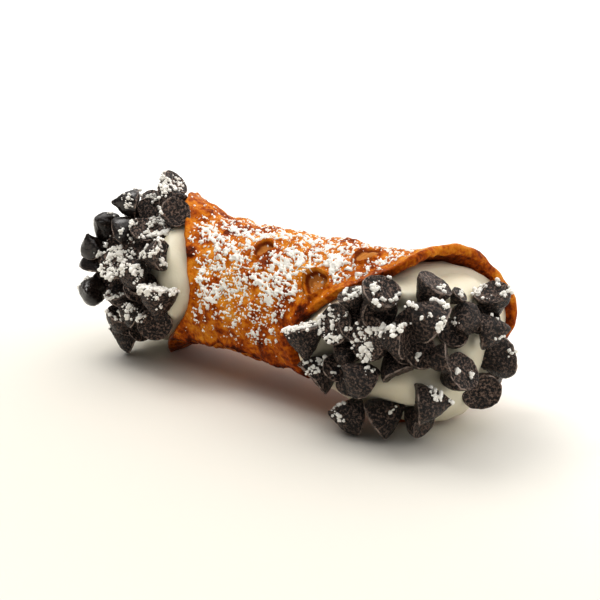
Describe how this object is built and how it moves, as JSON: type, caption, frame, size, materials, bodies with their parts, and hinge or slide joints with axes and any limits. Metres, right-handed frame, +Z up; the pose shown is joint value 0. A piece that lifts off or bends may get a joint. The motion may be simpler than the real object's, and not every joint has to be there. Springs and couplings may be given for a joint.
{
  "type": "cannoli",
  "caption": "Cannoli: a crisp fried pastry tube full of pale sweet cream, with dark chocolate chips pressed into both open ends.",
  "frame": {"origin": "middle of the bounding box's bottom face, on the surface that the cannoli rests on", "axes": "+X along the tube towards its near end, +Z up, -Y towards the side with the seam"},
  "size_m": [0.1366, 0.0556, 0.056],
  "materials": {
    "pastry": "blistered golden-brown fried dough with a faint oily sheen, dusted with sugar",
    "cream": "smooth ivory cream, soft sheen",
    "chocolate": "dark chocolate, dull and speckled on the flat bases, glossier on the tips"
  },
  "bodies": {
    "root": {"shell": "pastry", "cream": "cream", "chip_near_01": "chocolate", "chip_near_02": "chocolate", "chip_near_03": "chocolate", "chip_near_04": "chocolate", "chip_near_05": "chocolate", "chip_near_06": "chocolate", "chip_near_07": "chocolate", "chip_near_08": "chocolate", "chip_near_09": "chocolate", "chip_near_10": "chocolate", "chip_near_11": "chocolate", "chip_near_12": "chocolate", "chip_near_13": "chocolate", "chip_near_14": "chocolate", "chip_near_15": "chocolate", "chip_near_16": "chocolate", "chip_near_17": "chocolate", "chip_near_18": "chocolate", "chip_near_19": "chocolate", "chip_near_20": "chocolate", "chip_near_21": "chocolate", "chip_near_22": "chocolate", "chip_near_23": "chocolate", "chip_near_24": "chocolate", "chip_near_25": "chocolate", "chip_near_26": "chocolate", "chip_near_27": "chocolate", "chip_far_01": "chocolate", "chip_far_02": "chocolate", "chip_far_03": "chocolate", "chip_far_04": "chocolate", "chip_far_05": "chocolate", "chip_far_06": "chocolate", "chip_far_07": "chocolate", "chip_far_08": "chocolate", "chip_far_09": "chocolate", "chip_far_10": "chocolate", "chip_far_11": "chocolate", "chip_far_12": "chocolate", "chip_far_13": "chocolate", "chip_far_14": "chocolate", "chip_far_15": "chocolate", "chip_far_16": "chocolate", "chip_far_17": "chocolate", "chip_far_18": "chocolate", "chip_far_19": "chocolate", "chip_far_20": "chocolate", "chip_far_21": "chocolate", "chip_far_22": "chocolate", "chip_far_23": "chocolate", "chip_far_24": "chocolate", "chip_far_25": "chocolate", "chip_far_26": "chocolate", "chip_far_27": "chocolate", "chip_far_28": "chocolate", "chip_far_29": "chocolate", "chip_far_30": "chocolate", "chip_far_31": "chocolate"}
  },
  "joints": []
}
